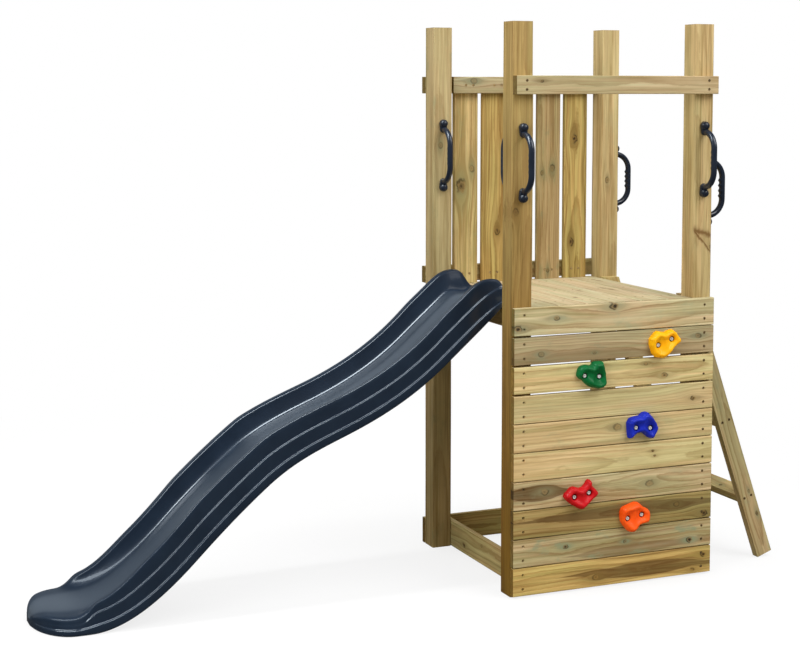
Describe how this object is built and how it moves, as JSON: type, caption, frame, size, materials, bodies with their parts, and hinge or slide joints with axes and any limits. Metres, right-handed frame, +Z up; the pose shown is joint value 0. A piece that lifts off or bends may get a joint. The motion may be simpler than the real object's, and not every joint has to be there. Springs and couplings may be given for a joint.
{
  "type": "wooden climbing frame",
  "caption": "Timber play tower with a deck, a board climbing wall with moulded holds, a leaning ladder, grab handles and a wavy plastic slide.",
  "frame": {"origin": "on the ground, in the middle of the object's box", "axes": "+X along the climbing wall from the slide to the ladder, +Y from the climbing wall to the back, +Z up"},
  "size_m": [2.4716, 0.769, 1.8],
  "materials": {
    "treated_pine": "planed, pressure treated, bare",
    "slide_plastic": "blow-moulded, satin gloss",
    "handle_plastic": "moulded, satin",
    "bolt_steel": "zinc plated",
    "screw_steel": "dark plated",
    "hold_yellow_resin": "moulded, glossy",
    "hold_green_resin": "moulded, glossy",
    "hold_blue_resin": "moulded, glossy",
    "hold_red_resin": "moulded, glossy",
    "hold_orange_resin": "moulded, glossy"
  },
  "bodies": {
    "root": {"post_front_left": "treated_pine", "post_front_right": "treated_pine", "post_back_left": "treated_pine", "post_back_right": "treated_pine", "wall_board_1": "treated_pine", "wall_board_2": "treated_pine", "wall_board_3": "treated_pine", "wall_board_4": "treated_pine", "wall_board_5": "treated_pine", "wall_board_6": "treated_pine", "wall_board_7": "treated_pine", "wall_board_8": "treated_pine", "wall_board_9": "treated_pine", "wall_board_10": "treated_pine", "front_top_rail": "treated_pine", "back_top_rail_outer": "treated_pine", "back_top_rail_inner": "treated_pine", "back_lower_rail": "treated_pine", "back_ground_rail": "treated_pine", "left_ground_rail": "treated_pine", "right_ground_rail": "treated_pine", "baluster_1": "treated_pine", "baluster_2": "treated_pine", "baluster_3": "treated_pine", "baluster_4": "treated_pine", "baluster_5": "treated_pine", "deck_board_1": "treated_pine", "deck_board_2": "treated_pine", "deck_board_3": "treated_pine", "deck_board_4": "treated_pine", "deck_board_5": "treated_pine", "deck_board_6": "treated_pine", "deck_beam_left": "treated_pine", "deck_beam_right": "treated_pine", "deck_bearer_front": "treated_pine", "deck_bearer_middle": "treated_pine", "deck_bearer_back": "treated_pine", "ladder_stringer_front": "treated_pine", "ladder_stringer_back": "treated_pine", "ladder_tread_1": "treated_pine", "ladder_tread_2": "treated_pine", "ladder_tread_3": "treated_pine", "slide": "slide_plastic", "handle_front_left": "handle_plastic", "handle_front_right": "handle_plastic", "handle_slide_front": "handle_plastic", "handle_slide_back": "handle_plastic", "handle_ladder_front": "handle_plastic", "handle_ladder_back": "handle_plastic", "handle_bolts": "handle_plastic", "hold_yellow": "hold_yellow_resin", "hold_green": "hold_green_resin", "hold_blue": "hold_blue_resin", "hold_red": "hold_red_resin", "hold_orange": "hold_orange_resin", "hold_bolts": "bolt_steel", "wall_screws": "screw_steel", "frame_screws": "screw_steel", "slide_screws": "screw_steel"}
  },
  "joints": []
}
